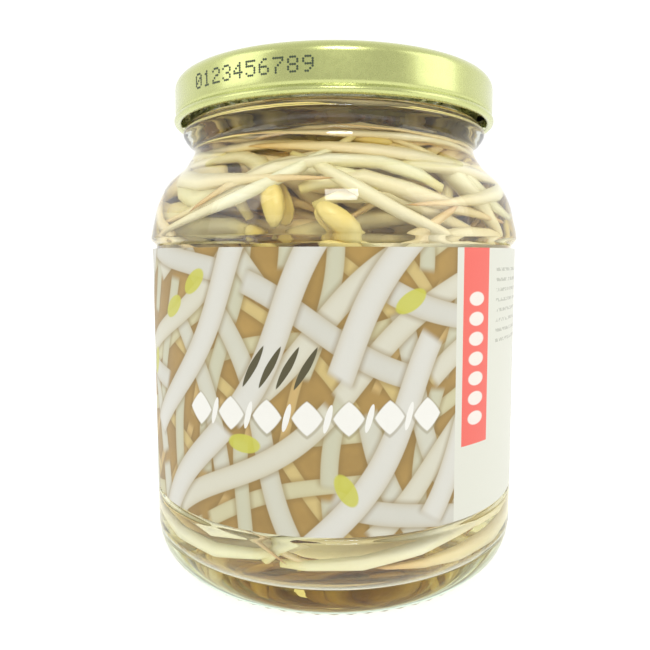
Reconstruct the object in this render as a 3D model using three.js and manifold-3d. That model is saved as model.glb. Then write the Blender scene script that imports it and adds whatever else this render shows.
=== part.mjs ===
// A glass jar of bean sprouts in brine, closed with a twist-off lid.
// Millimetres, +Z up. The origin is the middle of the base, and the label's front faces -Y.

import * as THREE from 'three';
import { mergeVertices } from 'three/addons/utils/BufferGeometryUtils.js';
import Module from 'manifold-3d';

const wasm = await Module();
wasm.setup();

// Driving dimensions of the whole jar.
const totalHeight = 100.4;
const sides = 36;
const gap = 0.3;

// The glass outside: heel, label panel, shoulder ridge, neck and transfer bead.
const pushUp = 3.0;
const domeShare = 0.6;
const domeRise = 0.62;
const bearingInner = 30.6;
const bearingOuter = 33.2;
const heelHeight = 9.0;
const wallRadius = 39.0;
const panelRadius = 38.3;
const panelBottom = 16.0;
const panelTop = 66.1;
const panelStep = 0.6;
const ridgeRadius = 39.3;
const ridgeHeight = 67.2;
const waistRadius = 30.2;
const waistHeight = 86.0;
const beadRadius = 32.4;
const beadHeight = 89.1;
const finishRadius = 31.0;
const finishBottom = 90.9;
const rimHeight = 98.1;
const rimOuter = 30.4;
const rimRound = 0.8;
// Radius and height of the glass from the ridge over the shoulder to the neck.
const shoulderOutline = [[38.6, 71.4], [37.0, 76.4], [35.4, 79.0], [32.4, 81.7], [30.7, 84.2]];

// The glass inside: a flat-domed floor, a round heel, a straight wall and a narrowing shoulder.
const floorMiddle = 6.2;
const floorEdge = 4.6;
const floorRadius = 29.0;
const floorFall = 0.36;
const boreHeel = 11.0;
const boreRadius = 36.0;
const boreShoulder = 70.0;
const boreWaist = 86.0;
const boreNeck = 27.6;
const shoulderSquareness = 1.2;

// The screw: four short threads on the glass and four lugs turned in from the lid's curl.
const starts = 4;
const screwRise = 1.4;
const threadArc = 0.94;
const threadRadius = 32.6;
const threadHeight = 1.3;
const lugArc = 0.24;
const lugInner = 31.6;
const lugBottom = 91.4;
const lugTop = 92.6;
const screwPlay = 0.35;
const threadRoot = 0.5;
const barSteps = 5;

// The pressed tinplate lid and its sealing ring.
const sheet = 0.5;
const skirtRadius = 33.9;
const curlRadius = 34.2;
const lidBottom = 91.1;
const creaseHeight = 92.7;
const lidShoulder = 2.4;
const crestInner = 28.2;
const panelDrop = 1.1;
const buttonRadius = 9.0;
const buttonDrop = 0.4;
const buttonSlope = 1.4;
const crestSlope = 1.1;
const creaseDepth = 0.2;
const curlDepth = 0.9;
const curlRound = 0.4;
const ringInner = 28.9;
const ringOuter = 32.6;
const ringThickness = 1.2;
const ringEdge = 0.5;
const ringSlope = 1.4;

// The paper label, wrapped round the panel and left open by two of the jar's
// sides at the back.
const labelBottom = 16.6;
const labelTop = 65.5;
const labelOuter = 39.0;

// The brine, with one plain hollow that goes round next to the glass, and the sprouts packed in it
// by the handful, each given by its lowest and highest point.
const brineHeight = 91.5;
const hollowBottom = 6.9;
const hollowTop = 90.2;
const hollowDepth = 16;
const handfuls = [['lower', 9.6, 42], ['middle', 26, 68], ['upper', 56, 87.6]];
const sproutsPerHandful = 18;
const sproutSeed = 20251;
const sproutTries = 6000;
const shortest = 44;
const lengthRange = 22;
const bendRange = 2.2;
const hookRange = 2.4;
const hookStart = 0.66;
const depthRange = 12;
const depthAtWall = 4;
const headDepth = 1.2;
const headRoom = 2.6;
const headRadius = 3.2;
const headedShare = 0.7;
const wallSpace = gap + 0.1;
const handfulSpace = 0.8;
const nearSpace = 0.6;
const crossing = -1.4;
const mostCrossed = 2;
const stemRadius = 2.1;
const rootShare = 0.3;
const thickening = 1.9;
const linePoints = 25;
const stemEnd = 20;
const stations = [0, 3, 7, 11, 14, 17, 19, stemEnd, linePoints - 1];
const stemSides = 5;
const lobeLength = 8.4;
const lobeWidth = 4.6;
const lobeThickness = 2.8;
const lobeSpread = 0.3;
const lobeOffset = 0.7;
const halfBean = [[0, 0], [0.38, 0.2], [0.5, 0.5], [0.4, 0.8], [0, 1]];

const green = new THREE.MeshStandardMaterial({ color: 0xdfeee2, roughness: 0.05, metalness: 0 });
green.name = 'glass';
const gold = new THREE.MeshStandardMaterial({ color: 0xc4c98a, roughness: 0.3, metalness: 0.8 });
gold.name = 'lacquered_tinplate';
const cream = new THREE.MeshStandardMaterial({ color: 0xe8e2cf, roughness: 0.6, metalness: 0 });
cream.name = 'sealing_ring';
const paper = new THREE.MeshStandardMaterial({ color: 0xd6d8c4, roughness: 0.55, metalness: 0 });
paper.name = 'label_paper';
const amber = new THREE.MeshStandardMaterial({ color: 0xd9a850, roughness: 0.05, metalness: 0 });
amber.name = 'brine';
const pale = new THREE.MeshStandardMaterial({ color: 0xe9ecc6, roughness: 0.45, metalness: 0 });
pale.name = 'sprout';

// A closed geometry as a solid. The triangles that merging has closed up at a pole are dropped.
function solidOf(geometry) {
  const bare = geometry.clone();
  bare.deleteAttribute('normal');
  bare.deleteAttribute('uv');
  const merged = mergeVertices(bare, 1e-4);
  const corners = merged.index.array;
  const kept = [];
  for (let i = 0; i < corners.length; i += 3) {
    const [a, b, c] = corners.slice(i, i + 3);
    if (a !== b && b !== c && c !== a) kept.push(a, b, c);
  }
  const vertProperties = merged.attributes.position.array;
  return new wasm.Manifold(new wasm.Mesh({ numProp: 3, vertProperties, triVerts: new Uint32Array(kept) }));
}

function geometryOf(solid) {
  const surface = solid.getMesh();
  const geometry = new THREE.BufferGeometry();
  geometry.setAttribute('position', new THREE.BufferAttribute(surface.vertProperties, 3));
  geometry.setIndex(new THREE.BufferAttribute(surface.triVerts, 1));
  return geometry;
}

function piece(name, solid, material) {
  const mesh = new THREE.Mesh(geometryOf(solid), material);
  mesh.name = name;
  return mesh;
}

// A profile of radius and height turned round the vertical axis, its first side at the front.
function turned(points) {
  return solidOf(new THREE.LatheGeometry(points, sides).rotateX(Math.PI / 2));
}

// A bar bent round the axis from its middle at the front: it climbs by so much for each radian.
function bentBar(arc, inner, outer, low, high, climb) {
  const bar = new THREE.BoxGeometry(arc, outer - inner, high - low, barSteps, 1, 1);
  const places = bar.attributes.position;
  for (let i = 0; i < places.count; i += 1) {
    const turn = places.getX(i);
    const radius = (inner + outer) / 2 - places.getY(i);
    const height = (low + high) / 2 + places.getZ(i) + climb * turn;
    places.setXYZ(i, radius * Math.sin(turn), -radius * Math.cos(turn), height);
  }
  return solidOf(bar);
}

function insideRadius(height) {
  if (height < boreHeel) {
    const down = (boreHeel - height) / (boreHeel - floorEdge);
    return floorRadius + (boreRadius - floorRadius) * Math.sqrt(Math.max(0, 1 - down * down));
  }
  if (height < boreShoulder) return boreRadius;
  if (height > boreWaist) return boreNeck;
  const up = (height - boreShoulder) / (boreWaist - boreShoulder);
  return boreNeck + (boreRadius - boreNeck) * (1 + Math.cos(Math.PI * up ** shoulderSquareness)) / 2;
}

// The inside of the glass from its floor up to a height, drawn in by an offset, ending on the axis.
function insidePoints(top, offset) {
  const points = [[0, floorMiddle]];
  points.push([floorRadius * domeShare, floorMiddle - floorFall * (floorMiddle - floorEdge)]);
  for (const height of [floorEdge, 5.2, 7.2, boreHeel, boreShoulder]) {
    points.push([insideRadius(height), height]);
  }
  for (const height of [74, 77, 80, 83]) points.push([insideRadius(height), height]);
  points.push([boreNeck, boreWaist], [boreNeck, top]);
  return profile(points.map(([radius, height]) => [
    Math.max(0, radius - offset), height === top ? top : height + offset]));
}

// Points along a quarter or less of an ellipse, from one angle to another in degrees.
function arc(radius, height, wide, high, from, to, steps) {
  return Array.from({ length: steps + 1 }, (_, i) => {
    const angle = THREE.MathUtils.degToRad(from + (to - from) * i / steps);
    return [radius + wide * Math.cos(angle), height + high * Math.sin(angle)];
  });
}

function profile(points) {
  return points.map(([radius, height]) => new THREE.Vector2(radius, height));
}

function glassJar() {
  const heelCentre = bearingOuter - 1;
  const outside = [
    [0, pushUp], [bearingInner * domeShare, pushUp * domeRise], [bearingInner, 0], [bearingOuter, 0],
    ...arc(heelCentre, heelHeight, wallRadius - heelCentre, heelHeight, -68, 0, 3),
    [wallRadius, panelBottom - panelStep], [panelRadius, panelBottom], [panelRadius, panelTop],
    [ridgeRadius, ridgeHeight],
    ...shoulderOutline, [waistRadius, waistHeight],
    [beadRadius - 0.6, beadHeight - 1.2], [beadRadius, beadHeight], [beadRadius - 0.4, beadHeight + 1.2],
    [finishRadius, finishBottom], [finishRadius, rimHeight - rimRound], [rimOuter, rimHeight],
  ];
  const points = [...profile(outside), ...insidePoints(rimHeight, 0).reverse()];
  let glass = turned(points);
  const threadBottom = lugTop + screwPlay;
  const shift = threadArc / 2 - lugArc / 2;
  for (let start = 0; start < starts; start += 1) {
    const low = threadBottom + screwRise * shift;
    const root = finishRadius - threadRoot;
    const thread = bentBar(threadArc, root, threadRadius, low, low + threadHeight, screwRise);
    glass = glass.add(thread.rotate([0, 0, THREE.MathUtils.radToDeg(shift) + start * 360 / starts]));
  }
  return glass;
}

function lid() {
  const panel = totalHeight - panelDrop;
  const middle = panel - buttonDrop;
  const rounding = skirtRadius - lidShoulder;
  const shoulder = totalHeight - lidShoulder;
  const outside = [
    [0, middle], [buttonRadius, middle], [buttonRadius + buttonSlope, panel],
    [crestInner - crestSlope, panel],
    [crestInner, totalHeight], ...arc(rounding, shoulder, lidShoulder, lidShoulder, 90, 0, 3),
    [skirtRadius - creaseDepth, creaseHeight], [curlRadius, lidBottom + curlDepth],
    [curlRadius - curlRound, lidBottom],
  ];
  const inside = [
    [skirtRadius - curlDepth, lidBottom], [skirtRadius - sheet - creaseDepth, creaseHeight],
    ...arc(rounding, shoulder, lidShoulder - sheet, lidShoulder - sheet, 0, 90, 2),
    [crestInner + sheet / 2, totalHeight - sheet], [crestInner - crestSlope + sheet / 2, panel - sheet],
    [buttonRadius + buttonSlope, panel - sheet], [buttonRadius, middle - sheet], [0, middle - sheet],
  ];
  let tin = turned(profile([...outside, ...inside].reverse()));
  for (let start = 0; start < starts; start += 1) {
    const lug = bentBar(lugArc, lugInner, skirtRadius - creaseDepth, lugBottom, lugTop, 0);
    tin = tin.add(lug.rotate([0, 0, start * 360 / starts]));
  }
  return tin;
}

function sealingRing() {
  const low = rimHeight + gap;
  const high = low + ringThickness;
  return turned(profile([
    [ringInner, low], [ringOuter, low], [ringOuter, low + ringEdge],
    [ringOuter - ringSlope, high], [ringInner, high], [ringInner, low],
  ]));
}

function label() {
  const inner = panelRadius + gap;
  const side = 2 * Math.PI / sides;
  const start = Math.PI / 2 + side;
  const end = Math.PI / 2 + 2 * Math.PI - side;
  const outline = new THREE.Shape();
  outline.absarc(0, 0, labelOuter, start, end, false);
  outline.absarc(0, 0, inner, end, start, true);
  const settings = { depth: labelTop - labelBottom, bevelEnabled: false, curveSegments: sides / 2 - 1 };
  return solidOf(new THREE.ExtrudeGeometry(outline, settings).translate(0, 0, labelBottom));
}

// A repeatable stream of numbers between 0 and 1.
function numberStream(seed) {
  let state = seed;
  return () => {
    state = (state * 48271) % 2147483647;
    return state / 2147483647;
  };
}

// The centre line of one sprout: it starts at the root tip, wanders along the inside of the glass at
// some depth, and hooks over below the head. It is null where it would leave its handful.
function sproutLine(random, handful) {
  const length = shortest + lengthRange * random();
  const step = length / (linePoints - 1);
  const middleAngle = 2 * Math.PI * random();
  const middleHeight = handful.low + (handful.high - handful.low) * random();
  let heading = 2 * Math.PI * random();
  const bend = bendRange * (random() - 0.5);
  const hook = hookRange * (random() - 0.5);
  const layer = Math.max(0, depthRange * random() - depthAtWall);
  const headed = random() < headedShare;
  let angle = middleAngle - Math.cos(heading + bend / 2) * length / 2 / boreRadius;
  let height = middleHeight - Math.sin(heading + bend / 2) * length / 2;
  const points = [];
  for (let i = 0; i < linePoints; i += 1) {
    const along = i / (linePoints - 1);
    const leafRoom = i > stemEnd ? headRoom : 0;
    if (height < handful.low + leafRoom || height > handful.high - leafRoom) return null;
    const wall = insideRadius(height) * Math.cos(Math.PI / sides) - wallSpace;
    const radius = wall - stemRadius - layer - headDepth * along * along;
    points.push(new THREE.Vector3(radius * Math.sin(angle), -radius * Math.cos(angle), height));
    heading += (bend + (along > hookStart ? 3 * hook : 0)) / (linePoints - 1);
    angle += Math.cos(heading) * step / radius;
    height += Math.sin(heading) * step;
  }
  for (let i = 1; i < stations.length; i += 1) {
    const [from, to] = [stations[i - 1], stations[i]];
    for (let j = from + 1; j < to; j += 1) {
      points[j].lerpVectors(points[from], points[to], (j - from) / (to - from));
    }
  }
  return { points, headed };
}

// How thick the sprout is at each point of its line: a thin root, a stem and a pair of seed leaves.
function thicknessAt(index, headed) {
  const along = index / stemEnd;
  if (along > 1) return headed ? headRadius : 0;
  return stemRadius * Math.min(1, rootShare + thickening * along);
}

// The smallest clear space between two sprouts, or between their stems alone. It is negative where
// they run into each other.
function clearance(first, second, count = linePoints) {
  let least = Infinity;
  first.points.slice(0, count).forEach((a, i) => {
    second.points.slice(0, count).forEach((b, j) => {
      const space = a.distanceTo(b) - thicknessAt(i, first.headed) - thicknessAt(j, second.headed);
      least = Math.min(least, space);
    });
  });
  return least;
}

// A sprout fits where it is clear of the other handfuls, and its stem crosses that of one or two of
// its own.
function fits(sprout, handful, all) {
  for (const other of all) {
    if (other === handful) continue;
    if (other.sprouts.some((one) => clearance(sprout, one) < handfulSpace)) return false;
  }
  const near = handful.sprouts.filter((one) => clearance(sprout, one) < nearSpace);
  if (near.some((one) => clearance(sprout, one, stemEnd) > crossing)) return false;
  return near.length <= mostCrossed && (near.length > 0 || handful.sprouts.length === 0);
}

// Sprouts are thrown in one by one, into each handful in turn.
function packedSprouts() {
  const random = numberStream(sproutSeed);
  const all = handfuls.map(([name, low, high]) => ({ name, low, high, sprouts: [] }));
  for (let round = 0; round < sproutsPerHandful; round += 1) {
    for (const handful of all) {
      for (let tries = 0; tries < sproutTries; tries += 1) {
        const sprout = sproutLine(random, handful);
        if (!sprout || !fits(sprout, handful, all)) continue;
        handful.sprouts.push(sprout);
        break;
      }
    }
  }
  return all;
}

// Directions along a line: the way it goes, the way across it in the wall of sprouts, and outwards.
function frameAt(points, index) {
  const low = Math.max(0, index - 1);
  const high = Math.min(points.length - 1, index + 1);
  const ahead = points[high].clone().sub(points[low]).normalize();
  const outward = new THREE.Vector3(points[index].x, points[index].y, 0).normalize();
  const across = ahead.clone().cross(outward).normalize();
  return { ahead, across, outward: across.clone().cross(ahead) };
}

// A stem is a lathed spindle whose height follows the line.
function stem(sprout) {
  const rings = stations.filter((index) => index <= stemEnd).map((index) => {
    const pole = index === 0 || index === stemEnd;
    return [pole ? 0 : thicknessAt(index, false), index];
  });
  const spindle = new THREE.LatheGeometry(profile(rings), stemSides);
  const places = spindle.attributes.position;
  for (let i = 0; i < places.count; i += 1) {
    const index = Math.round(places.getY(i));
    const { across, outward } = frameAt(sprout.points, index);
    const place = sprout.points[index].clone();
    place.addScaledVector(across, places.getX(i)).addScaledVector(outward, places.getZ(i));
    places.setXYZ(i, place.x, place.y, place.z);
  }
  return solidOf(spindle);
}

// One of the two seed leaves: half a bean, spread from the other in the plane of the glass.
function seedLeaf(sprout, way) {
  const bean = new THREE.LatheGeometry(profile(halfBean), stemSides);
  const neck = sprout.points[stemEnd - 1];
  const tip = sprout.points[linePoints - 1];
  const { across } = frameAt(sprout.points, stemEnd + 2);
  const ahead = tip.clone().sub(neck).normalize();
  const spread = way * lobeSpread;
  const along = ahead.clone().multiplyScalar(Math.cos(spread)).addScaledVector(across, Math.sin(spread));
  const thin = across.clone().multiplyScalar(Math.cos(spread)).addScaledVector(ahead, -Math.sin(spread));
  const wide = thin.clone().cross(along);
  bean.scale(lobeThickness, lobeLength, lobeWidth);
  bean.applyMatrix4(new THREE.Matrix4().makeBasis(thin, along, wide));
  const root = neck.clone().addScaledVector(across, way * lobeOffset);
  return solidOf(bean.translate(root.x, root.y, root.z));
}

function handfulOf(sprouts) {
  const solids = sprouts.map((sprout) => {
    if (!sprout.headed) return stem(sprout);
    return stem(sprout).add(seedLeaf(sprout, 1)).add(seedLeaf(sprout, -1));
  });
  return solids.reduce((all, one) => all.add(one));
}

function brine() {
  const inside = insidePoints(brineHeight, gap);
  const wall = inside.filter(({ y }) => y > hollowBottom && y < hollowTop);
  const column = wall.map(({ x, y }) => [x + gap - hollowDepth, y]);
  const edge = (height) => insideRadius(height) - gap;
  return turned([...inside.filter(({ y }) => y < hollowBottom), ...profile([
    [edge(hollowBottom), hollowBottom], [column[0][0], hollowBottom], ...column,
    [column.at(-1)[0], hollowTop], [edge(hollowTop), hollowTop],
    [edge(hollowTop), brineHeight], [0, brineHeight],
  ])]);
}

const packed = packedSprouts();
const group = new THREE.Group();
group.add(piece('glass_jar', glassJar(), green));
group.add(piece('lid', lid(), gold));
group.add(piece('sealing_ring', sealingRing(), cream));
group.add(piece('label', label(), paper));
group.add(piece('brine', brine(), amber));
for (const handful of packed) {
  group.add(piece(`sprouts_${handful.name}`, handfulOf(handful.sprouts), pale));
}

export default group;
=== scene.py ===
import math

import bpy
import numpy as np
from mathutils import Matrix, Vector


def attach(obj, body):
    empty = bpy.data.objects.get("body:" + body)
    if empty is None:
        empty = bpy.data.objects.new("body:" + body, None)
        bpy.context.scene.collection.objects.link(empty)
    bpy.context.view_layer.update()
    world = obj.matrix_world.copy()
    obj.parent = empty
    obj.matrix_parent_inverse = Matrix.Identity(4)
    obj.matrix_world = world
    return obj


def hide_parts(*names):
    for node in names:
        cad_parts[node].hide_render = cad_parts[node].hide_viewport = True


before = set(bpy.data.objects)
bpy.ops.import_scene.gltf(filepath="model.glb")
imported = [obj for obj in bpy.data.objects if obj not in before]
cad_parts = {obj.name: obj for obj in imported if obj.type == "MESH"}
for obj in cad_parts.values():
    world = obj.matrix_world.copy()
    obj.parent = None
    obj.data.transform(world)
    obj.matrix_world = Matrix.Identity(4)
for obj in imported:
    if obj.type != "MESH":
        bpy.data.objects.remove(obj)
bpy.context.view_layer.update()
MM = 0.001

# The glass jar is one blown piece of clear flint glass with a pushed-up bottom, a stippled bearing
# ring, a panel sunk for the label, a narrow neck with a bead, and four short threads for the lid.
# Its profile is turned about the axis; the threads are bars wound on to the neck and melted in.
GLASS_SIDES = 216
BASE_RISE = 3.0
BEARING_INNER, BEARING_OUTER = 30.6, 33.2
HEEL_HEIGHT = 9.0
WALL_RADIUS = 39.0
PANEL_RADIUS = 38.3
PANEL_BOTTOM, PANEL_TOP = 16.0, 66.1
RIDGE_RADIUS = 39.3
WAIST_RADIUS = 30.2
BEAD_RADIUS, BEAD_HEIGHT = 32.4, 89.1
FINISH_RADIUS = 31.0
FINISH_BOTTOM = 90.9
RIM_HEIGHT = 98.1
FLOOR_MIDDLE, FLOOR_EDGE, FLOOR_RADIUS = 6.2, 4.6, 29.0
BORE_HEEL, BORE_RADIUS = 11.0, 36.0
BORE_SHOULDER, BORE_WAIST, BORE_NECK = 70.0, 86.0, 27.6
SHOULDER_SQUARENESS = 1.2
SCREW_STARTS = 4
SCREW_RISE = 1.4
THREAD_ARC, THREAD_RADIUS, THREAD_HEIGHT = 0.94, 32.6, 1.3
THREAD_BOTTOM = 92.95
LUG_ARC = 0.24


def deselect():
    bpy.ops.object.select_all(action="DESELECT")


def take(piece):
    """Leaves a piece as the only one selected, and active."""
    deselect()
    piece.select_set(True)
    bpy.context.view_layer.objects.active = piece


def named(name):
    piece = bpy.context.object
    piece.name = name
    piece.data.name = name
    return piece


def apply_modifier(piece, kind, **settings):
    take(piece)
    modifier = piece.modifiers.new(kind.title(), kind)
    for name, value in settings.items():
        setattr(modifier, name, value)
    bpy.ops.object.modifier_apply(modifier=modifier.name)


def joined(pieces, name):
    take(pieces[0])
    for piece in pieces[1:]:
        piece.select_set(True)
    if len(pieces) > 1:
        bpy.ops.object.join()
    return named(name)


def outline(points, name):
    """Draws a profile of radii and heights, in mm, by extruding one corner of a plane."""
    deselect()
    bpy.ops.mesh.primitive_plane_add(size=MM)
    bpy.ops.object.mode_set(mode="EDIT")
    bpy.ops.mesh.select_all(action="SELECT")
    bpy.ops.mesh.merge(type="CENTER")
    here = Vector((points[0][0], 0, points[0][1])) * MM
    bpy.ops.transform.translate(value=here)
    for radius, height in points[1:]:
        there = Vector((radius, 0, height)) * MM
        bpy.ops.mesh.extrude_region_move(TRANSFORM_OT_translate={"value": there - here})
        here = there
    bpy.ops.object.mode_set(mode="OBJECT")
    return named(name)


def turned(points, name, steps=GLASS_SIDES, angle=2 * math.pi, start=0.0):
    """Spins a profile about the vertical axis, welds its seam and poles and points it outwards."""
    piece = outline(points, name)
    piece.data.transform(Matrix.Rotation(start - math.pi / 2, 4, "Z"))
    bpy.ops.object.mode_set(mode="EDIT")
    bpy.ops.mesh.select_all(action="SELECT")
    bpy.ops.mesh.spin(steps=steps, angle=angle, center=(0, 0, 0), axis=(0, 0, -1))
    bpy.ops.mesh.select_all(action="SELECT")
    bpy.ops.mesh.remove_doubles(threshold=0.004 * MM)
    bpy.ops.mesh.normals_make_consistent(inside=False)
    bpy.ops.object.mode_set(mode="OBJECT")
    return piece


def close_ends():
    """Closes the two open ends of a piece that is turned only part of the way round."""
    bpy.ops.object.mode_set(mode="EDIT")
    bpy.ops.mesh.select_all(action="DESELECT")
    bpy.ops.mesh.select_non_manifold()
    bpy.ops.mesh.edge_face_add()
    bpy.ops.mesh.select_all(action="SELECT")
    bpy.ops.mesh.normals_make_consistent(inside=False)
    bpy.ops.object.mode_set(mode="OBJECT")


def arc(radius, height, wide, high, start, end, steps):
    """Points along part of an ellipse, from one angle to another in degrees."""
    turns = [math.radians(start + (end - start) * i / steps) for i in range(steps + 1)]
    return [(radius + wide * math.cos(turn), height + high * math.sin(turn)) for turn in turns]


def flowing(points, steps):
    """A smooth line through the points, with so many steps from each to the next."""
    line = []
    for i in range(len(points) - 1):
        before, here, there, after = (
            np.array(points[min(max(i + shift, 0), len(points) - 1)]) for shift in (-1, 0, 1, 2)
        )
        for j in range(steps):
            t = j / steps
            along = (2 * here + (there - before) * t
                     + (2 * before - 5 * here + 4 * there - after) * t**2
                     + (3 * here - before - 3 * there + after) * t**3)
            line.append(tuple(along / 2))
    return line + [tuple(points[-1])]


def inside_radius(height):
    if height < BORE_HEEL:
        down = (BORE_HEEL - height) / (BORE_HEEL - FLOOR_EDGE)
        return FLOOR_RADIUS + (BORE_RADIUS - FLOOR_RADIUS) * math.sqrt(max(0, 1 - down * down))
    if height < BORE_SHOULDER:
        return BORE_RADIUS
    if height > BORE_WAIST:
        return BORE_NECK
    up = (height - BORE_SHOULDER) / (BORE_WAIST - BORE_SHOULDER)
    return BORE_NECK + (BORE_RADIUS - BORE_NECK) * (1 + math.cos(math.pi * up**SHOULDER_SQUARENESS)) / 2


def inside_profile(top, grow=0.0):
    """The inside of the glass from the middle of its floor up to a height."""
    floor = arc(0, FLOOR_EDGE, FLOOR_RADIUS, FLOOR_MIDDLE - FLOOR_EDGE, 90, 4, 10)
    wide, high = BORE_RADIUS - FLOOR_RADIUS, BORE_HEEL - FLOOR_EDGE
    heel = arc(FLOOR_RADIUS, BORE_HEEL, wide, high, -86, 0, 12)
    wall = [(BORE_RADIUS, height) for height in (24, 40, 56)]
    steps = 26
    rise = (BORE_WAIST - BORE_SHOULDER) / steps
    heights = [BORE_SHOULDER + i * rise for i in range(steps + 1)]
    shoulder = [(inside_radius(height), height) for height in heights]
    points = floor + heel + wall + shoulder + [(BORE_NECK, 90.0), (BORE_NECK, top)]
    grown = [(radius + (grow if radius > 0.01 else 0), height) for radius, height in points]
    return [(radius, height - (grow if height < BORE_HEEL - 1 else 0)) for radius, height in grown]


heel_centre = BEARING_OUTER - 1
outside = arc(0, 0.15, BEARING_INNER, BASE_RISE - 0.15, 90, 6, 12)
outside += [(BEARING_INNER + 0.5, 0.0), (BEARING_OUTER - 0.5, 0.0)]
outside += arc(heel_centre, HEEL_HEIGHT, WALL_RADIUS - heel_centre, HEEL_HEIGHT, -76, 0, 16)
outside += flowing([(WALL_RADIUS, PANEL_BOTTOM - 1.1), (WALL_RADIUS - 0.1, PANEL_BOTTOM - 0.6),
                    (PANEL_RADIUS + 0.1, PANEL_BOTTOM - 0.1), (PANEL_RADIUS, PANEL_BOTTOM + 0.3)], 3)
outside += flowing([(PANEL_RADIUS, PANEL_TOP), (PANEL_RADIUS + 0.25, PANEL_TOP + 0.3),
                    (RIDGE_RADIUS - 0.1, PANEL_TOP + 1.1), (RIDGE_RADIUS, PANEL_TOP + 2.0),
                    (38.6, 71.4), (38.0, 73.9), (37.0, 76.4), (35.4, 79.0), (32.5, 81.7), (30.8, 84.2),
                    (WAIST_RADIUS, 86.1), (31.5, BEAD_HEIGHT - 1.5), (BEAD_RADIUS, BEAD_HEIGHT),
                    (BEAD_RADIUS - 0.4, BEAD_HEIGHT + 1.2), (FINISH_RADIUS, FINISH_BOTTOM)], 4)
outside += [(FINISH_RADIUS, 94.0)]
outside += arc(FINISH_RADIUS - 0.8, RIM_HEIGHT - 0.8, 0.8, 0.8, 0, 90, 4)
outside += arc(BORE_NECK + 0.8, RIM_HEIGHT - 0.8, 0.8, 0.8, 90, 170, 4)
glass = turned(outside + inside_profile(RIM_HEIGHT - 1.2)[::-1], "glass_jar_blown")

# Stipples are pressed into the outer edge of the bearing ring.
STIPPLE_INNER, STIPPLE_OUTER, STIPPLE_TOP = 33.2, 35.3, 1.4
STIPPLE_OUT, STIPPLE_DOWN = 0.25, 0.05
for vertex in glass.data.vertices:
    spoke = round(math.atan2(vertex.co.y, vertex.co.x) / (2 * math.pi) * GLASS_SIDES) % 3
    radius = math.hypot(vertex.co.x, vertex.co.y) / MM
    on_ring = STIPPLE_INNER < radius < STIPPLE_OUTER
    if spoke == 0 and on_ring and STIPPLE_DOWN < vertex.co.z / MM < STIPPLE_TOP:
        vertex.co.x *= 1 + STIPPLE_OUT / radius
        vertex.co.y *= 1 + STIPPLE_OUT / radius
        vertex.co.z -= STIPPLE_DOWN * MM

THREAD_ROOT, ROOT_HALF, CREST_HALF = FINISH_RADIUS - 0.5, 0.7, 0.45
thread_shift = THREAD_ARC / 2 - LUG_ARC / 2
for start in range(SCREW_STARTS):
    section = [(THREAD_ROOT, -ROOT_HALF), (THREAD_RADIUS - 0.3, -CREST_HALF), (THREAD_RADIUS, 0.0),
               (THREAD_RADIUS - 0.3, CREST_HALF), (THREAD_ROOT, ROOT_HALF), (THREAD_ROOT, -ROOT_HALF)]
    turn = thread_shift - THREAD_ARC / 2 + start * 2 * math.pi / SCREW_STARTS
    thread = turned(section, "thread", steps=18, angle=THREAD_ARC, start=turn)
    close_ends()
    for vertex in thread.data.vertices:
        angle = (math.atan2(vertex.co.x, -vertex.co.y) - start * 2 * math.pi / SCREW_STARTS + math.pi)
        angle = angle % (2 * math.pi) - math.pi
        vertex.co.z += (THREAD_BOTTOM + THREAD_HEIGHT / 2 + SCREW_RISE * angle) * MM
    apply_modifier(glass, "BOOLEAN", operation="UNION", object=thread, solver="EXACT")
    bpy.data.objects.remove(thread)


class Value:
    """A number that changes over a surface. Sums on it add their Math nodes."""

    def __init__(self, finish, socket):
        self.finish = finish
        self.socket = socket

    def math(self, operation, *terms):
        sockets = dict(enumerate(terms))
        return self.finish.node("ShaderNodeMath", {"operation": operation}, sockets)

    def __add__(self, other):
        return self.math("ADD", self, other)

    def __sub__(self, other):
        return self.math("SUBTRACT", self, other)

    def __rsub__(self, other):
        return self.math("SUBTRACT", other, self)

    def __mul__(self, other):
        return self.math("MULTIPLY", self, other)

    def __truediv__(self, other):
        return self.math("DIVIDE", self, other)

    def __pow__(self, other):
        return self.math("POWER", self, other)

    def __lt__(self, other):
        return self.math("LESS_THAN", self, other)

    def __gt__(self, other):
        return self.math("GREATER_THAN", self, other)

    def __abs__(self):
        return self.math("ABSOLUTE", self)

    __radd__ = __add__
    __rmul__ = __mul__


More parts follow.
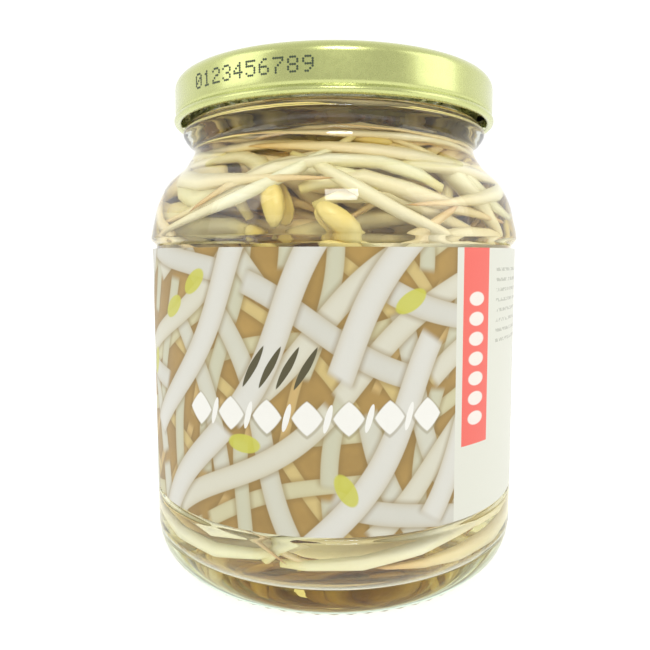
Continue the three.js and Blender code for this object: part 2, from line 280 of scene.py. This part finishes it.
class Finish:
    """A material round one Principled shader, whose nodes all come from one method."""

    def __init__(self, name, **sockets):
        self.material = bpy.data.materials.new(name)
        self.material.use_nodes = True
        self.tree = self.material.node_tree
        self.shader = self.tree.nodes["Principled BSDF"]
        for socket, value in sockets.items():
            self.plug(self.shader.inputs[socket.replace("_", " ")], value)

    def plug(self, socket, value):
        if isinstance(value, Value):
            self.tree.links.new(value.socket, socket)
        else:
            socket.default_value = value

    def node(self, kind, settings, sockets, output=0):
        made = self.tree.nodes.new(kind)
        for name, value in settings.items():
            if name == "stops":
                while len(made.color_ramp.elements) < len(value):
                    made.color_ramp.elements.new(1.0)
                for element, (place, colour) in zip(made.color_ramp.elements, value):
                    element.position = place
                    element.color = colour
            else:
                setattr(made, name, value)
        for name, value in sockets.items():
            self.plug(made.inputs[name], value)
        return Value(self, made.outputs[output])

    def place(self):
        """Where a point is on the object: across, deep and up, in mm."""
        spot = self.node("ShaderNodeTexCoord", {}, {}, "Object")
        sized = self.node("ShaderNodeVectorMath", {"operation": "SCALE"}, {0: spot, "Scale": 1 / MM})
        return sized, *(self.node("ShaderNodeSeparateXYZ", {}, {0: sized}, i) for i in range(3))

    def noise(self, place, scale, detail=2.0):
        sockets = {"Vector": place, "Scale": scale, "Detail": detail}
        return self.node("ShaderNodeTexNoise", {}, sockets, "Fac")

    def mixed(self, amount, first, second):
        settings = {"data_type": "RGBA"}
        return self.node("ShaderNodeMix", settings, {"Factor": amount, 6: first, 7: second}, 2)

    def ramp(self, amount, *stops):
        return self.node("ShaderNodeValToRGB", {"stops": stops}, {"Fac": amount})

    def band(self, distance, half_width, softness):
        """One where the distance is within the half width, falling softly to nought outside it."""
        settings = {"interpolation_type": "SMOOTHSTEP"}
        outer, inner = half_width + softness, half_width - softness
        sockets = {"Value": distance, "From Min": outer, "From Max": inner}
        return self.node("ShaderNodeMapRange", settings, sockets)

    def bump(self, height, distance, strength=1.0):
        sockets = {"Height": height, "Strength": strength, "Distance": distance}
        made = self.node("ShaderNodeBump", {}, sockets)
        self.plug(self.shader.inputs["Normal"], made)

    def lets_lamps_through(self):
        """Light from lamps and from dull surfaces passes straight through, as it mostly does."""
        shadow = self.node("ShaderNodeLightPath", {}, {}, "Is Shadow Ray")
        dull = self.node("ShaderNodeLightPath", {}, {}, "Is Diffuse Ray")
        clear = self.node("ShaderNodeBsdfTransparent", {}, {})
        either = shadow.math("MAXIMUM", shadow, dull)
        sockets = {"Fac": either, 1: Value(self, self.shader.outputs[0]), 2: clear}
        out = self.node("ShaderNodeMixShader", {}, sockets)
        self.tree.links.new(out.socket, self.tree.nodes["Material Output"].inputs["Surface"])

    def absorbs(self, colour, density):
        sockets = {"Color": colour, "Density": density}
        body = self.node("ShaderNodeVolumeAbsorption", {}, sockets)
        self.tree.links.new(body.socket, self.tree.nodes["Material Output"].inputs["Volume"])

    def put_on(self, piece):
        piece.data.materials.clear()
        piece.data.materials.append(self.material)


def srgb(red, green, blue):
    """A colour as seen on a screen, 0 to 255, as the shader wants it."""
    def straight(level):
        level /= 255
        return level / 12.92 if level <= 0.04045 else ((level + 0.055) / 1.055) ** 2.4
    return (straight(red), straight(green), straight(blue), 1.0)


def smooth(piece, degrees=40):
    take(piece)
    bpy.ops.object.shade_smooth_by_angle(angle=math.radians(degrees))


GLASS_INDEX = 1.4
flint = Finish("flint_glass", Base_Color=(1, 1, 1, 1), Roughness=0.0, IOR=GLASS_INDEX)
flint.shader.inputs["Transmission Weight"].default_value = 1.0
flint.lets_lamps_through()
flint.absorbs((0.6, 0.92, 0.66, 1), 10.0)
flint.put_on(glass)
smooth(glass)
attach(glass, "jar")
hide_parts("glass_jar")

# The sprouts are packed loosely in brine, most of them lying along the glass. Each is a thin brown
# root tip, a pale crisp stem that thickens upwards and hooks over, and two yellow halves of the bean.
# One straight sprout of each form is modelled, copied, bent along a curve and given its own colour.
STEM_RADIUS = 2.1
ROOT_SHARE, THICKENING = 0.3, 1.9
SHORTEST, LENGTH_RANGE = 44, 22
BEND_RANGE, HOOK_RANGE, HOOK_START = 2.2, 2.4, 0.66
DEPTH_RANGE, DEPTH_AT_WALL = 12, 4
HEAD_DEPTH, HEAD_ROOM, HEAD_RADIUS, HEADED_SHARE = 1.2, 2.6, 3.2, 0.7
HANDFUL_SPACE, NEAR_SPACE, CROSSING, MOST_CROSSED = 0.8, 0.6, -1.4, 2
SPROUT_SEED, SPROUT_TRIES, LOOSE_SEED = 20251, 6000, 777
LINE_POINTS = 25
STEM_END = 20
STATIONS = (0, 3, 7, 11, 14, 17, 19, STEM_END, LINE_POINTS - 1)
SPROUTS_PER_HANDFUL = 18
HANDFULS = (("lower", 9.6, 42), ("middle", 26, 68), ("upper", 56, 87.6))
WALL_GAP = 0.4
FACET = math.cos(math.pi / 36)
LOOSE_SPROUTS, LOOSE_TRIES = 300, 12000
LOOSE_BANDS = ((6.6, 40), (58, 89.4), (63, 89.4), (6.6, 32), (28, 66), (60, 89.4))
LOOSE_LAYERS = (0, 1.5, 3, 4.5, 6, 8, 10, 12.5, 15)
LOOSE_SQUEEZE = -1.6


def number_stream(seed):
    """The same repeatable stream of numbers between 0 and 1 each time."""
    state = seed
    while True:
        state = state * 48271 % 2147483647
        yield state / 2147483647


def sprout_line(draw, low, high, layer=None, slimmer=0.0):
    """The centre line of one sprout, or None where it would leave its handful."""
    length = SHORTEST + LENGTH_RANGE * draw()
    step = length / (LINE_POINTS - 1)
    middle_angle = 2 * math.pi * draw()
    middle_height = low + (high - low) * draw()
    heading = 2 * math.pi * draw()
    bend = BEND_RANGE * (draw() - 0.5)
    hook = HOOK_RANGE * (draw() - 0.5)
    drawn_layer = max(0, DEPTH_RANGE * draw() - DEPTH_AT_WALL)
    headed = draw() < HEADED_SHARE
    layer = drawn_layer if layer is None else layer
    angle = middle_angle - math.cos(heading + bend / 2) * length / 2 / BORE_RADIUS
    height = middle_height - math.sin(heading + bend / 2) * length / 2
    points = []
    for i in range(LINE_POINTS):
        along = i / (LINE_POINTS - 1)
        leaf_room = HEAD_ROOM if i > STEM_END else 0
        if height < low + leaf_room or height > high - leaf_room:
            return None
        wall = inside_radius(height) * FACET - WALL_GAP
        radius = wall - STEM_RADIUS + slimmer - layer - HEAD_DEPTH * along * along
        points.append((radius * math.sin(angle), -radius * math.cos(angle), height))
        heading += (bend + (3 * hook if along > HOOK_START else 0)) / (LINE_POINTS - 1)
        angle += math.cos(heading) * step / radius
        height += math.sin(heading) * step
    line = np.array(points)
    straight = line.copy()
    for start, end in zip(STATIONS, STATIONS[1:]):
        for j in range(start + 1, end):
            share = (j - start) / (end - start)
            straight[j] = line[start] + (line[end] - line[start]) * share
    share = np.arange(LINE_POINTS) / STEM_END
    thick = (STEM_RADIUS - slimmer) * np.minimum(1, ROOT_SHARE + THICKENING * share)
    thick[share > 1] = HEAD_RADIUS if headed else 0
    return {"line": line, "straight": straight, "headed": headed, "slimmer": slimmer, "thick": thick}


def clearances(sprout, others, count=LINE_POINTS, stride=1):
    """The least clear space between a sprout and each of the others, negative where they cross."""
    used = slice(0, count, stride)
    spots = np.array([one["straight"][used] for one in others])
    thick = np.array([one["thick"][used] for one in others])
    gaps = spots[:, :, None] - sprout["straight"][used]
    apart = np.sqrt(np.einsum("nijk,nijk->nij", gaps, gaps))
    return (apart - thick[:, :, None] - sprout["thick"][used]).min(axis=(1, 2))


def fits(sprout, handful, handfuls):
    others = [one for other in handfuls if other is not handful for one in other]
    if others and clearances(sprout, others).min() < HANDFUL_SPACE:
        return False
    if not handful:
        return True
    spaces = clearances(sprout, handful)
    near = [one for one, space in zip(handful, spaces) if space < NEAR_SPACE]
    if not 0 < len(near) <= MOST_CROSSED:
        return False
    return clearances(sprout, near, STEM_END).max() <= CROSSING


def packed_sprouts():
    """The sprouts of the three handfuls, thrown in one by one."""
    draw = number_stream(SPROUT_SEED).__next__
    handfuls = [[] for _ in HANDFULS]
    for _ in range(SPROUTS_PER_HANDFUL):
        for handful, (_, low, high) in zip(handfuls, HANDFULS):
            for _ in range(SPROUT_TRIES):
                sprout = sprout_line(draw, low, high)
                if sprout and fits(sprout, handful, handfuls):
                    handful.append(sprout)
                    break
    return handfuls


def loose_sprouts(placed):
    """More sprouts, each pushed in from the glass until it lies clear of those there already."""
    draw = number_stream(LOOSE_SEED).__next__
    found = []
    for attempt in range(LOOSE_TRIES):
        if len(found) == LOOSE_SPROUTS:
            break
        state = [draw() for _ in range(8)]
        low, high = LOOSE_BANDS[attempt % len(LOOSE_BANDS)]
        slimmer = 0.9 * draw()
        for layer in LOOSE_LAYERS:
            sprout = sprout_line(iter(state).__next__, low, high, layer, slimmer)
            if sprout is None:
                break
            if clearances(sprout, placed + found, stride=2).min() > LOOSE_SQUEEZE:
                found.append(sprout)
                break
    return found


FINE_STEM = ((0, 0), (0.12, 0.01), (0.3, 0.08), (0.45, 0.2), (0.72, 0.34), (0.93, 0.5), (1, 0.66),
             (0.96, 0.8), (0.78, 0.9), (0.62, 0.96), (0.55, 1), (0, 1.004))
PLAIN_STEM = ((0, 0), (0.2, 0.05), (0.45, 0.2), (0.78, 0.38), (1, 0.58), (0.98, 0.76), (0.7, 0.92),
              (0.55, 1), (0, 1.004))
SEED_BACK, SEED_FACE = 0.9, 0.18
SEED_THICK, SEED_WIDE, SEED_LEAN, SEED_APART = 3.6, 4.3, 7, 0.12


def straight_sprout(name, opening, stem, sides, rings):
    """A sprout standing upright, one long: its seed halves are spread by the opening, or left off."""
    share = STEM_END / (LINE_POINTS - 1)
    deselect()
    points = [(radius * STEM_RADIUS, height * share / MM) for radius, height in stem]
    parts = [turned(points, name, steps=sides)]
    for way in (-1, 1) if opening is not None else ():
        bpy.ops.mesh.primitive_uv_sphere_add(segments=sides, ring_count=rings, radius=0.5)
        half = named("seed_half")
        for vertex in half.data.vertices:
            vertex.co.x = vertex.co.x * (SEED_BACK if vertex.co.x * way > 0 else SEED_FACE)
            vertex.co.z += 0.5
            lean = way * (SEED_APART + opening * vertex.co.z**1.3)
            spot = Vector((vertex.co.x * SEED_THICK + lean * SEED_LEAN, vertex.co.y * SEED_WIDE,
                           vertex.co.z))
            vertex.co = Vector((spot.x * MM, spot.y * MM, share - 0.015 + spot.z * (1 - share) * 0.98))
        parts.append(half)
    return joined(parts, name)


def bend(model, sprout, seed):
    """A copy of a straight sprout, bent along the sprout's line by a curve."""
    path = bpy.data.curves.new("line", "CURVE")
    path.dimensions = "3D"
    path.use_stretch = True
    path.use_deform_bounds = True
    spline = path.splines.new("POLY")
    spline.points.add(LINE_POINTS - 1)
    for point, spot in zip(spline.points, sprout["line"]):
        point.co = (*(spot * MM), 1)
    guide = bpy.data.objects.new("line", path)
    bpy.context.scene.collection.objects.link(guide)
    copy = bpy.data.objects.new("sprout", model.data.copy())
    bpy.context.scene.collection.objects.link(copy)
    slim = (STEM_RADIUS - sprout["slimmer"]) / STEM_RADIUS
    copy.data.transform(Matrix.Diagonal((slim, slim, 1, 1)))
    layer = copy.data.uv_layers.new(name="growth")
    for loop in copy.data.loops:
        layer.data[loop.index].uv = (copy.data.vertices[loop.vertex_index].co.z, seed)
    apply_modifier(copy, "CURVE", object=guide, deform_axis="POS_Z")
    bpy.data.objects.remove(guide)
    return copy


OPENINGS = (None, 0.05, 0.2, 0.42)
fine_models = [straight_sprout(f"fine_{i}", spread, FINE_STEM, 10, 8)
               for i, spread in enumerate(OPENINGS)]
plain_models = [straight_sprout(f"plain_{i}", spread, PLAIN_STEM, 6, 4)
                for i, spread in enumerate(OPENINGS)]


def bunch(sprouts, models, name, skin):
    copies = []
    for i, sprout in enumerate(sprouts):
        form = 1 + (i * 7) % 3 if sprout["headed"] else 0
        copies.append(bend(models[form], sprout, (i * 0.381966) % 1))
    piece = joined(copies, name)
    skin.put_on(piece)
    smooth(piece, 180)
    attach(piece, "jar")
    return piece


def sprout_skin():
    skin = Finish("sprout_skin", Roughness=0.35)
    place, x, y, z = skin.place()
    growth = skin.node("ShaderNodeUVMap", {"uv_map": "growth"}, {})
    along = skin.node("ShaderNodeSeparateXYZ", {}, {0: growth}, 0)
    seed = skin.node("ShaderNodeSeparateXYZ", {}, {0: growth}, 1)
    pale = skin.ramp(
        along + 0.06 * (skin.noise(place, 0.35) - 0.5),
        (0.0, srgb(176, 128, 78)), (0.08, srgb(214, 184, 130)), (0.22, srgb(232, 224, 184)),
        (0.5, srgb(238, 240, 214)), (0.76, srgb(232, 236, 200)), (0.83, srgb(226, 220, 150)),
        (0.88, srgb(232, 214, 118)), (1.0, srgb(236, 222, 140)))
    streaks = skin.noise(place, 1.4, 4.0)
    warm = skin.mixed(0.25 * skin.noise(place, 0.09) + 0.2 * seed * seed, pale, srgb(226, 186, 116))
    # Sprouts nearer the axis lie deeper in the amber brine. Their colour is mixed towards amber there,
    # a painted shade standing in for the tint the brine gives the light that reaches them.
    inward = (x * x + y * y) ** 0.5
    settings = {"interpolation_type": "SMOOTHSTEP"}
    sockets = {"Value": inward, "From Min": 32.0, "From Max": 20.0}
    painted_brine_shade = skin.node("ShaderNodeMapRange", settings, sockets)
    deep = skin.mixed(painted_brine_shade * 0.5, warm, srgb(250, 204, 112))
    skin.plug(skin.shader.inputs["Base Color"], skin.mixed(0.18 * streaks, deep, srgb(214, 178, 120)))
    skin.bump(streaks, 0.15 * MM, 0.5)
    return skin


skin = sprout_skin()
handfuls = packed_sprouts()
for handful, (name, _, _) in zip(handfuls, HANDFULS):
    packed = bunch(handful, fine_models, f"sprouts_{name}_packed", skin)
    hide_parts(f"sprouts_{name}")
loose = loose_sprouts([sprout for handful in handfuls for sprout in handful])
for third in range(3):
    bunch(loose[third::3], plain_models, f"sprouts_loose_{third + 1}", skin)
for model in fine_models + plain_models:
    bpy.data.objects.remove(model)

# The brine is clear and amber from the beans. It fills the jar to just under the rim, with a slight
# rise where it wets the glass, and it touches the glass all over.
BRINE_HEIGHT = 91.5
BRINE_BITE = 0.05
BRINE_INDEX = 1.37
wetted = inside_profile(BRINE_HEIGHT + 0.5, BRINE_BITE)
surface = [(BORE_NECK - 0.3, BRINE_HEIGHT + 0.12), (BORE_NECK - 1.2, BRINE_HEIGHT), (0, BRINE_HEIGHT)]
brine = turned(wetted + surface, "brine_filled")
brine_look = Finish("brine_amber", Base_Color=(1, 1, 1, 1), Roughness=0.0, IOR=BRINE_INDEX)
brine_look.shader.inputs["Transmission Weight"].default_value = 1.0
brine_look.lets_lamps_through()
brine_look.absorbs((0.985, 0.86, 0.25, 1), 34.0)
brine_look.put_on(brine)
smooth(brine)
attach(brine, "jar")
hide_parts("brine")

# The label is one strip of coated paper, printed in four colours and glued round the sunk panel. It
# stops short of meeting itself at the back. Its print is a plain weave of broad pale blades over
# ochre, a coral strip, and a white part ruled with grey, with rows of diamonds and leaves.
LABEL_OUTER, PAPER_THICKNESS = 39.0, 0.12
LABEL_BOTTOM, LABEL_TOP = 16.6, 65.5
LABEL_HALF_ANGLE = math.radians(170)
glued = LABEL_OUTER - PAPER_THICKNESS
cut = 0.03
sheet_edge = [(glued, LABEL_BOTTOM), (LABEL_OUTER - cut, LABEL_BOTTOM),
              (LABEL_OUTER, LABEL_BOTTOM + cut), (LABEL_OUTER, 28), (LABEL_OUTER, 41),
              (LABEL_OUTER, 54), (LABEL_OUTER, LABEL_TOP - cut),
              (LABEL_OUTER - cut, LABEL_TOP), (glued, LABEL_TOP), (glued, LABEL_BOTTOM)]
label = turned(sheet_edge, "label_printed", 204, 2 * LABEL_HALF_ANGLE, -LABEL_HALF_ANGLE)
close_ends()

BLADE_LAYERS = (
    (64, 6.5, 0.8, 24, srgb(206, 172, 112)), (-42, 7.5, 1.1, 30, srgb(210, 186, 124)),
    (18, 8.5, 1.4, 34, srgb(208, 203, 168)), (82, 8.0, 1.5, 28, srgb(204, 204, 182)),
    (-66, 9.5, 1.9, 36, srgb(212, 212, 200)), (38, 10.5, 2.0, 40, srgb(220, 218, 204)),
    (-22, 12.0, 2.1, 38, srgb(214, 214, 208)), (57, 13.0, 2.4, 46, srgb(224, 224, 220)),
)


def printed_label():
    paper = Finish("printed_paper", Roughness=0.42)
    place, x, y, z = paper.place()
    across = LABEL_OUTER * x.math("ARCTAN2", x, 0 - y)
    mottle = paper.noise(place, 0.12, 3.0)
    picture = paper.mixed(mottle, srgb(196, 156, 84), srgb(120, 86, 38))
    for number, (tilt, lane_width, half_width, reach, tone) in enumerate(BLADE_LAYERS):
        turn = math.radians(tilt)
        along = across * math.cos(turn) + z * math.sin(turn) + 7.3 * number
        sway = (along * 0.11 + 1.7 * number).math("SINE", along * 0.11 + 1.7 * number) * 2.2
        off = z * math.cos(turn) - across * math.sin(turn) + sway + 3.1 * number
        lane = off.math("FLOOR", off / lane_width)
        shifted = along / reach + lane * 0.37
        part = off.math("FLOOR", shifted)
        cell = paper.node("ShaderNodeCombineXYZ", {}, {0: lane, 1: part, 2: number + 0.5})
        settings = {"noise_dimensions": "3D"}
        luck = paper.node("ShaderNodeTexWhiteNoise", settings, {"Vector": cell}, "Value")
        beside = abs(off / lane_width - lane - 0.5) * lane_width
        ends = abs(shifted - part - 0.5) * reach
        there = (luck > 0.5) * paper.band(ends, reach / 2 - 1.2, 0.8)
        shade = there * paper.band(beside, half_width + 0.5, 0.7) * 0.55
        picture = paper.mixed(shade, picture, srgb(128, 96, 46))
        edge_tone = paper.mixed((beside / half_width) ** 3 * 0.4, tone, srgb(176, 152, 100))
        picture = paper.mixed(there * paper.band(beside, half_width, 0.12), picture, edge_tone)
    draw = number_stream(4242).__next__
    for seed in range(7):
        centre, middle, tilt = -56 + 76 * ((seed * 0.382) % 1), 22 + 40 * draw(), math.pi * draw()
        along = (across - centre) * math.cos(tilt) + (z - middle) * math.sin(tilt)
        off = (z - middle) * math.cos(tilt) - (across - centre) * math.sin(tilt)
        oval = (along * along / 12 + off * off / 3.2) ** 0.5
        picture = paper.mixed(paper.band(oval, 0.9, 0.08) * 0.9, picture, srgb(204, 204, 70))

    def row(first, pitch, count, height, wide, high, lean, corner):
        """A row of like shapes: diamonds where the corner is one, leaves and ovals as it grows."""
        spot = across - lean * (z - height) - first
        inside = (spot > -pitch / 2) * (spot < pitch * (count - 0.5))
        cell = spot.math("FRACT", spot / pitch + 0.5) - 0.5
        shape = abs(cell * pitch / wide) ** corner + abs((z - height) / high) ** corner
        return inside * paper.band(shape, 1.0, 0.08)

    shadow = row(-25.5, 7.0, 7, 36.8, 3.1, 3.3, 0.0, 1.2) * 0.4
    picture = paper.mixed(shadow, picture, srgb(112, 92, 52))
    picture = paper.mixed(row(-25.5, 7.0, 7, 37.0, 2.6, 2.9, 0.0, 1.2), picture, srgb(250, 250, 248))
    picture = paper.mixed(row(-22.0, 7.0, 6, 37.0, 0.55, 2.4, 0.25, 2.0), picture, srgb(250, 250, 248))
    picture = paper.mixed(row(-14.0, 3.1, 4, 45.4, 0.75, 3.6, 0.55, 1.5), picture, srgb(34, 30, 26))
    white = srgb(232, 234, 226)
    sheet = paper.mixed((across > 22.6) + (across < -66.0), picture, white)
    broken = paper.noise(place, 1.6, 1.0) > 0.47
    line = (z - 46.0).math("FRACT", (z - 46.0) / 1.9) < 0.34
    block = (across > 34.5) * (across < 56) * (z > 47.5) * (z < 62) * line * broken
    second = (across > 64) * (across < 104) * (z > 24) * (z < 58) * line * broken
    block = block.math("MAXIMUM", block, second)
    sheet = paper.mixed(block * 0.45, sheet, srgb(120, 124, 118))
    strip = (across > 24.2) * (across < 31.6) * (z > 30.0)
    sheet = paper.mixed(strip, sheet, srgb(250, 92, 96))
    cell = z.math("FRACT", (z - 33.0) / 3.6) - 0.5
    oval = ((cell * 3.6 / 1.25) ** 2 + ((across - 27.9) / 2.1) ** 2) ** 0.5
    chain = paper.band(oval, 1.0, 0.1) * (z > 33.0) * (z < 33.0 + 3.6 * 7)
    sheet = paper.mixed(chain, sheet, srgb(252, 244, 240))
    sheet = paper.mixed(0.3, sheet, srgb(116, 108, 52))
    printed = (x * x + y * y) ** 0.5 > LABEL_OUTER - 0.06
    paper.plug(paper.shader.inputs["Base Color"], paper.mixed(printed, srgb(236, 234, 222), sheet))
    fibre = paper.noise(place, 3.0, 4.0)
    paper.bump(fibre, 0.05 * MM, 0.4)
    paper.plug(paper.shader.inputs["Roughness"], 0.36 + 0.14 * fibre)
    return paper


printed_label().put_on(label)
smooth(label, 30)
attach(label, "jar")
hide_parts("label")

# The sealing ring is poured into the lid's channel as a paste and baked to a soft cream rubber. The
# rim of the glass presses a shallow groove in it.
RING_LOW, RING_HIGH = RIM_HEIGHT + 0.3, RIM_HEIGHT + 1.5
groove = arc(29.6, RING_LOW, 0.9, 0.25, 180, 0, 6)
ring = turned([(28.95, RING_LOW)] + groove + [(32.55, RING_LOW), (32.6, RING_LOW + 0.5),
              (31.3, RING_HIGH), (29.1, RING_HIGH), (28.9, RING_HIGH - 0.3), (28.95, RING_LOW)],
              "sealing_ring_poured", steps=120)
compound = Finish("sealing_compound", Roughness=0.6)
place, x, y, z = compound.place()
grain = compound.noise(place, 0.8, 3.0)
compound.plug(compound.shader.inputs["Base Color"],
              compound.ramp(grain, (0.3, srgb(222, 214, 190)), (0.7, srgb(238, 232, 214))))
compound.bump(grain, 0.1 * MM, 0.4)
compound.put_on(ring)
smooth(ring)
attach(ring, "ring")
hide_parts("sealing_ring")

# The lid is pressed from one round of tinplate with a gold-green lacquer. Its edge is curled inwards
# and pinched flat at four places for the lugs, and its top has a raised ring and a safety button.
TOTAL_HEIGHT = 100.4
SKIRT_RADIUS, CURL_RADIUS = 33.9, 34.2
LID_BOTTOM, CREASE_HEIGHT = 91.1, 92.7
SHOULDER = 2.4
TIN = 0.25
CREST_INNER = 28.2
PANEL_HEIGHT = TOTAL_HEIGHT - 1.1
BUTTON_RADIUS, BUTTON_HEIGHT = 9.0, PANEL_HEIGHT - 0.4
LUG_INNER, LUG_BOTTOM, LUG_TOP = 31.6, 91.4, 92.6
curl = (LID_BOTTOM + CREASE_HEIGHT) / 2 - 0.05
pressed = flowing([(0.0, BUTTON_HEIGHT), (BUTTON_RADIUS - 1, BUTTON_HEIGHT - 0.02),
                   (BUTTON_RADIUS + 0.4, BUTTON_HEIGHT + 0.15), (BUTTON_RADIUS + 1.6, PANEL_HEIGHT),
                   (19.0, PANEL_HEIGHT - 0.02), (20.2, PANEL_HEIGHT + 0.3), (21.4, PANEL_HEIGHT + 0.3),
                   (22.4, PANEL_HEIGHT), (26.4, PANEL_HEIGHT), (27.3, PANEL_HEIGHT + 0.35),
                   (CREST_INNER, TOTAL_HEIGHT - 0.1), (CREST_INNER + 1.0, TOTAL_HEIGHT)], 4)
pressed += arc(SKIRT_RADIUS - SHOULDER, TOTAL_HEIGHT - SHOULDER, SHOULDER, SHOULDER, 90, 0, 12)
pressed += flowing([(SKIRT_RADIUS, 96.0), (SKIRT_RADIUS, CREASE_HEIGHT + 0.7),
                    (SKIRT_RADIUS - 0.22, CREASE_HEIGHT + 0.1)], 3)
pressed += arc(CURL_RADIUS - 0.75, curl, 0.75, curl - LID_BOTTOM, 60, -200, 14)
under = [(max(0, radius), height - TIN) for radius, height in pressed[:45]][::-1]
inner = [(SKIRT_RADIUS - TIN - 0.1, CREASE_HEIGHT + 0.5), (SKIRT_RADIUS - TIN, 94.5)]
inner += arc(SKIRT_RADIUS - SHOULDER, TOTAL_HEIGHT - SHOULDER, SHOULDER - TIN, SHOULDER - TIN, 0, 80, 8)
lid = turned(pressed + inner + under, "lid_pressed", steps=180)
for start in range(SCREW_STARTS):
    lip = [(LUG_INNER, LUG_BOTTOM + 0.5), (LUG_INNER + 0.2, LUG_BOTTOM + 0.15), (33.2, LUG_BOTTOM),
           (33.3, LUG_TOP), (LUG_INNER + 0.2, LUG_TOP - 0.2), (LUG_INNER, LUG_BOTTOM + 0.5)]
    turn = start * 2 * math.pi / SCREW_STARTS - LUG_ARC / 2
    lug = turned(lip, "lug", steps=8, angle=LUG_ARC, start=turn)
    close_ends()
    lid = joined([lid, lug], "lid_pressed")
lacquer = Finish("gold_green_lacquer", Base_Color=srgb(192, 198, 128), Roughness=0.26, Metallic=0.85)
lacquer.shader.inputs["Coat Weight"].default_value = 0.5
lacquer.shader.inputs["Coat Roughness"].default_value = 0.08
place, x, y, z = lacquer.place()
peel = lacquer.noise(place, 1.1, 3.0)
lacquer.plug(lacquer.shader.inputs["Roughness"], 0.2 + 0.14 * peel)
lacquer.bump(peel, 0.02 * MM, 0.08)
lacquer.put_on(lid)
smooth(lid, 35)
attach(lid, "lid")
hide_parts("lid")

# A printer sprays a row of dark ink dots on the skirt. Here they form the ten digits in order.
DIGITS = ("01110 10001 10011 10101 11001 10001 01110", "00100 01100 00100 00100 00100 00100 01110",
          "01110 10001 00001 00110 01000 10000 11111", "01110 10001 00001 00110 00001 10001 01110",
          "00010 00110 01010 10010 11111 00010 00010", "11111 10000 11110 00001 00001 10001 01110",
          "00110 01000 10000 11110 10001 10001 01110", "11111 00001 00010 00100 01000 01000 01000",
          "01110 10001 10001 01110 10001 10001 01110", "01110 10001 10001 01111 00001 00010 01100")
PRINT_LEFT, PRINT_RIGHT = math.radians(-48.4), math.radians(-4.3)
PRINT_MIDDLE, DOT_PITCH, DOT_RADIUS = 96.0, 0.4, 0.21
deselect()
bpy.ops.mesh.primitive_circle_add(vertices=8, radius=DOT_RADIUS * MM, fill_type="NGON")
dot = named("ink_dot")
dots = []
for index, digit in enumerate(DIGITS):
    left = PRINT_LEFT + (PRINT_RIGHT - PRINT_LEFT) * index / len(DIGITS)
    for down, dashes in enumerate(digit.split()):
        for step, mark in enumerate(dashes):
            if mark == "0":
                continue
            angle = left + step * DOT_PITCH / SKIRT_RADIUS
            spot = Vector((0, -(SKIRT_RADIUS + 0.03), PRINT_MIDDLE + (3 - down) * DOT_PITCH)) * MM
            copy = bpy.data.objects.new("ink_dot", dot.data.copy())
            bpy.context.scene.collection.objects.link(copy)
            copy.data.transform(Matrix.Rotation(math.pi / 2, 4, "X"))
            copy.data.transform(Matrix.Rotation(angle, 4, "Z") @ Matrix.Translation(spot))
            dots.append(copy)
bpy.data.objects.remove(dot)
code = joined(dots, "lid_digits")
ink = Finish("dot_ink", Base_Color=srgb(48, 62, 40), Roughness=0.5)
ink.put_on(code)
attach(code, "lid")

# The studio: a pale floor, lit a little from below, that runs out of sight, a surround that is
# brighter behind the jar than in front of it, and soft boxes above and in front.
deselect()
bpy.ops.mesh.primitive_plane_add(size=6.0)
floor = named("studio_floor")
floor_look = Finish("studio_white", Base_Color=(0.7, 0.7, 0.69, 1), Roughness=0.9)
floor_look.shader.inputs["Emission Color"].default_value = (1.0, 1.0, 0.98, 1)
floor_look.shader.inputs["Emission Strength"].default_value = 0.5
floor_look.put_on(floor)

world = bpy.data.worlds.new("studio")
bpy.context.scene.world = world
world.use_nodes = True
surround = world.node_tree.nodes
links = world.node_tree.links
toward = surround.new("ShaderNodeTexCoord")
parts = surround.new("ShaderNodeSeparateXYZ")
fall = surround.new("ShaderNodeMapRange")
for socket, value in (("From Min", -0.6), ("From Max", 0.4), ("To Min", 0.66), ("To Max", 1.12)):
    fall.inputs[socket].default_value = value
links.new(toward.outputs["Generated"], parts.inputs[0])
links.new(parts.outputs["Y"], fall.inputs["Value"])
links.new(fall.outputs[0], surround["Background"].inputs["Strength"])
surround["Background"].inputs["Color"].default_value = (1.0, 1.0, 0.99, 1)


def soft_box(name, spot, aim, wide, high, power):
    lamp = bpy.data.lights.new(name, "AREA")
    lamp.shape = "RECTANGLE"
    lamp.size, lamp.size_y = wide, high
    lamp.energy = power
    box = bpy.data.objects.new(name, lamp)
    bpy.context.scene.collection.objects.link(box)
    box.location = spot
    box.rotation_euler = (Vector(aim) - Vector(spot)).to_track_quat("-Z", "Y").to_euler()
    return box


soft_box("front_box", (0.05, -0.55, 0.55), (0, 0, 0.06), 0.22, 0.12, 1.3)
soft_box("left_box", (-0.6, -0.3, 0.4), (0, 0, 0.05), 0.4, 0.5, 0.9)
soft_box("right_box", (0.6, -0.2, 0.35), (0, 0, 0.05), 0.4, 0.5, 0.9)

# The camera stands close, at the height of the label's top edge, and looks slightly down.
EYE = Vector((0, -0.1403, 0.0639))
PITCH = math.radians(4.69)
FOCAL_PIXELS, PICTURE_PIXELS, SENSOR = 622.3, 650, 36.0
AXIS_COLUMN, HORIZON_ROW = 333.96, 307.58
camera = bpy.data.cameras.new("camera")
camera.sensor_width = SENSOR
camera.lens = SENSOR * FOCAL_PIXELS / PICTURE_PIXELS
camera.shift_x = (PICTURE_PIXELS / 2 - AXIS_COLUMN) / PICTURE_PIXELS
camera.shift_y = (HORIZON_ROW - PICTURE_PIXELS / 2) / PICTURE_PIXELS
camera.clip_start = 0.01
viewer = bpy.data.objects.new("camera", camera)
bpy.context.scene.collection.objects.link(viewer)
viewer.location = EYE
viewer.rotation_euler = (math.pi / 2 - PITCH, 0, 0)
bpy.context.scene.camera = viewer
bpy.context.scene.view_settings.view_transform = "Standard"
